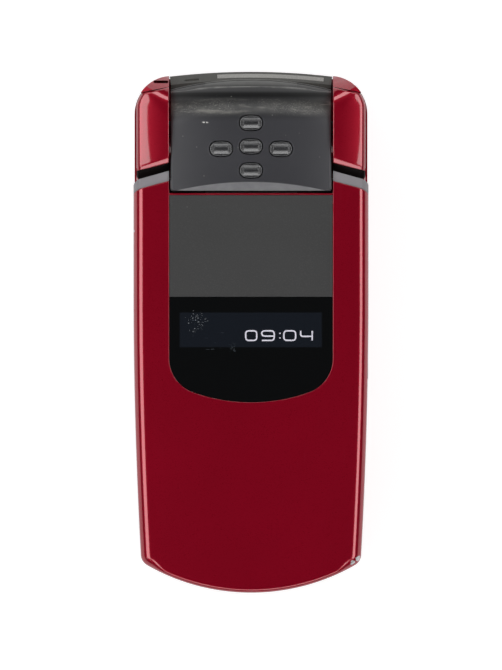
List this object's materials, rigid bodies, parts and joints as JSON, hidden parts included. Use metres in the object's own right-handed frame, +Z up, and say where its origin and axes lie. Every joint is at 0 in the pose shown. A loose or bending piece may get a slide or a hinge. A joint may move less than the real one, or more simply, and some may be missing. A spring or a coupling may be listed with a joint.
{
  "type": "clamshell phone",
  "caption": "Clamshell mobile phone with a crowned hinge barrel between two rolled shoulders, music keys on the hinge and an outer display in the lid.",
  "frame": {"origin": "middle of the phone's footprint on the surface it lies on", "axes": "+X across the phone, +Y to the hinged top end, +Z up out of the closed lid"},
  "size_m": [0.049, 0.1088, 0.0219],
  "materials": {
    "red_paint": "deep red metallic lacquer, gloss, worn to bare metal on corners",
    "base_shell": "deep red metallic lacquer, gloss",
    "grey_metal": "silver-grey metallic paint, satin",
    "black_plastic": "black, fine speckle, satin, polished by wear",
    "trim_panel": "dark grey, fine matte grain",
    "dark_glass": "black smoked window, high gloss",
    "grey_window": "grey window, satin",
    "display": "liquid crystal panel, dark when off",
    "board": "green circuit board",
    "key_black": "black, satin gloss",
    "key_grey": "silver-grey key caps",
    "steel": "plain steel",
    "dark_part": "dark moulded plastic",
    "rubber": "soft black rubber"
  },
  "bodies": {
    "base": {"base_rear_case": "red_paint", "base_front_case": "base_shell", "left_shoulder": "red_paint", "right_shoulder": "red_paint", "top_end_cover": "black_plastic", "top_end_window": "grey_window", "battery": "dark_part", "main_board": "board", "shield_can": "steel", "antenna": "dark_part", "loudspeaker": "dark_part", "vibration_motor": "steel", "system_connector": "steel", "microphone": "dark_part", "camera_module": "dark_part", "camera_window": "dark_glass", "keypad_dome_sheet": "board", "case_screws": "steel", "hinge_pins": "steel"},
    "flip": {"flip_outer_cover": "red_paint", "flip_inner_case": "grey_metal", "flip_trim_panel": "trim_panel", "sub_display_window": "dark_glass", "sub_display": "display", "main_display_window": "dark_glass", "main_display": "display", "earpiece": "dark_part", "hinge_module_cover": "black_plastic", "hinge_barrel": "black_plastic", "hinge_cam_unit": "steel", "flip_board": "board", "flip_bumpers": "rubber", "flip_screws": "steel"},
    "battery_cover": {"battery_cover": "red_paint"},
    "music_key_up": {"music_key_up": "key_black"},
    "music_key_centre": {"music_key_centre": "key_black"},
    "music_key_left": {"music_key_left": "key_black"},
    "music_key_right": {"music_key_right": "key_black"},
    "music_key_down": {"music_key_down": "key_black"},
    "key_1": {"key_1": "key_grey"},
    "key_2": {"key_2": "key_grey"},
    "key_3": {"key_3": "key_grey"},
    "key_4": {"key_4": "key_grey"},
    "key_5": {"key_5": "key_grey"},
    "key_6": {"key_6": "key_grey"},
    "key_7": {"key_7": "key_grey"},
    "key_8": {"key_8": "key_grey"},
    "key_9": {"key_9": "key_grey"},
    "key_star": {"key_star": "key_grey"},
    "key_0": {"key_0": "key_grey"},
    "key_hash": {"key_hash": "key_grey"},
    "soft_key_left": {"soft_key_left": "key_grey"},
    "soft_key_right": {"soft_key_right": "key_grey"},
    "call_key": {"call_key": "key_grey"},
    "end_key": {"end_key": "key_grey"},
    "clear_key": {"clear_key": "key_grey"},
    "nav_key": {"nav_key": "key_grey"},
    "nav_ring": {"nav_ring": "key_grey"},
    "volume_rocker": {"volume_rocker": "key_grey"},
    "camera_key": {"camera_key": "key_grey"}
  },
  "joints": [
    {"name": "flip_hinge", "type": "hinge", "parent": "base", "child": "flip", "pos_m": [0, 0.0425, 0.0115], "axis": [-1, 0, 0], "range_deg": [0, 150]},
    {"name": "music_key_up_press", "type": "slide", "parent": "flip", "child": "music_key_up", "axis": [0, 0, -1], "range_m": [0, 0.0003], "stiffness_N_per_m": 800},
    {"name": "music_key_centre_press", "type": "slide", "parent": "flip", "child": "music_key_centre", "axis": [0, 0, -1], "range_m": [0, 0.0003], "stiffness_N_per_m": 800},
    {"name": "music_key_left_press", "type": "slide", "parent": "flip", "child": "music_key_left", "axis": [0, 0, -1], "range_m": [0, 0.0003], "stiffness_N_per_m": 800},
    {"name": "music_key_right_press", "type": "slide", "parent": "flip", "child": "music_key_right", "axis": [0, 0, -1], "range_m": [0, 0.0003], "stiffness_N_per_m": 800},
    {"name": "music_key_down_press", "type": "slide", "parent": "flip", "child": "music_key_down", "axis": [0, 0, -1], "range_m": [0, 0.0003], "stiffness_N_per_m": 800},
    {"name": "key_1_press", "type": "slide", "parent": "base", "child": "key_1", "axis": [0, 0, -1], "range_m": [0, 0.00025], "stiffness_N_per_m": 800},
    {"name": "key_2_press", "type": "slide", "parent": "base", "child": "key_2", "axis": [0, 0, -1], "range_m": [0, 0.00025], "stiffness_N_per_m": 800},
    {"name": "key_3_press", "type": "slide", "parent": "base", "child": "key_3", "axis": [0, 0, -1], "range_m": [0, 0.00025], "stiffness_N_per_m": 800},
    {"name": "key_4_press", "type": "slide", "parent": "base", "child": "key_4", "axis": [0, 0, -1], "range_m": [0, 0.00025], "stiffness_N_per_m": 800},
    {"name": "key_5_press", "type": "slide", "parent": "base", "child": "key_5", "axis": [0, 0, -1], "range_m": [0, 0.00025], "stiffness_N_per_m": 800},
    {"name": "key_6_press", "type": "slide", "parent": "base", "child": "key_6", "axis": [0, 0, -1], "range_m": [0, 0.00025], "stiffness_N_per_m": 800},
    {"name": "key_7_press", "type": "slide", "parent": "base", "child": "key_7", "axis": [0, 0, -1], "range_m": [0, 0.00025], "stiffness_N_per_m": 800},
    {"name": "key_8_press", "type": "slide", "parent": "base", "child": "key_8", "axis": [0, 0, -1], "range_m": [0, 0.00025], "stiffness_N_per_m": 800},
    {"name": "key_9_press", "type": "slide", "parent": "base", "child": "key_9", "axis": [0, 0, -1], "range_m": [0, 0.00025], "stiffness_N_per_m": 800},
    {"name": "key_star_press", "type": "slide", "parent": "base", "child": "key_star", "axis": [0, 0, -1], "range_m": [0, 0.00025], "stiffness_N_per_m": 800},
    {"name": "key_0_press", "type": "slide", "parent": "base", "child": "key_0", "axis": [0, 0, -1], "range_m": [0, 0.00025], "stiffness_N_per_m": 800},
    {"name": "key_hash_press", "type": "slide", "parent": "base", "child": "key_hash", "axis": [0, 0, -1], "range_m": [0, 0.00025], "stiffness_N_per_m": 800},
    {"name": "soft_key_left_press", "type": "slide", "parent": "base", "child": "soft_key_left", "axis": [0, 0, -1], "range_m": [0, 0.00025], "stiffness_N_per_m": 800},
    {"name": "soft_key_right_press", "type": "slide", "parent": "base", "child": "soft_key_right", "axis": [0, 0, -1], "range_m": [0, 0.00025], "stiffness_N_per_m": 800},
    {"name": "call_key_press", "type": "slide", "parent": "base", "child": "call_key", "axis": [0, 0, -1], "range_m": [0, 0.00025], "stiffness_N_per_m": 800},
    {"name": "end_key_press", "type": "slide", "parent": "base", "child": "end_key", "axis": [0, 0, -1], "range_m": [0, 0.00025], "stiffness_N_per_m": 800},
    {"name": "clear_key_press", "type": "slide", "parent": "base", "child": "clear_key", "axis": [0, 0, -1], "range_m": [0, 0.00025], "stiffness_N_per_m": 800},
    {"name": "nav_key_press", "type": "slide", "parent": "base", "child": "nav_key", "axis": [0, 0, -1], "range_m": [0, 0.00025], "stiffness_N_per_m": 800},
    {"name": "nav_ring_press", "type": "slide", "parent": "base", "child": "nav_ring", "axis": [0, 0, -1], "range_m": [0, 0.00025], "stiffness_N_per_m": 800},
    {"name": "camera_key_press", "type": "slide", "parent": "base", "child": "camera_key", "axis": [-1, 0, 0], "range_m": [0, 0.0003], "stiffness_N_per_m": 800},
    {"name": "volume_rocker_tilt", "type": "hinge", "parent": "base", "child": "volume_rocker", "pos_m": [-0.0232, 0.014, 0.00775], "axis": [0, 0, 1], "range_deg": [-1.5, 1.5], "stiffness_Nm_per_rad": 0.05},
    {"name": "battery_cover_slide", "type": "slide", "parent": "base", "child": "battery_cover", "axis": [0, -1, 0], "range_m": [0, 0.068]}
  ]
}
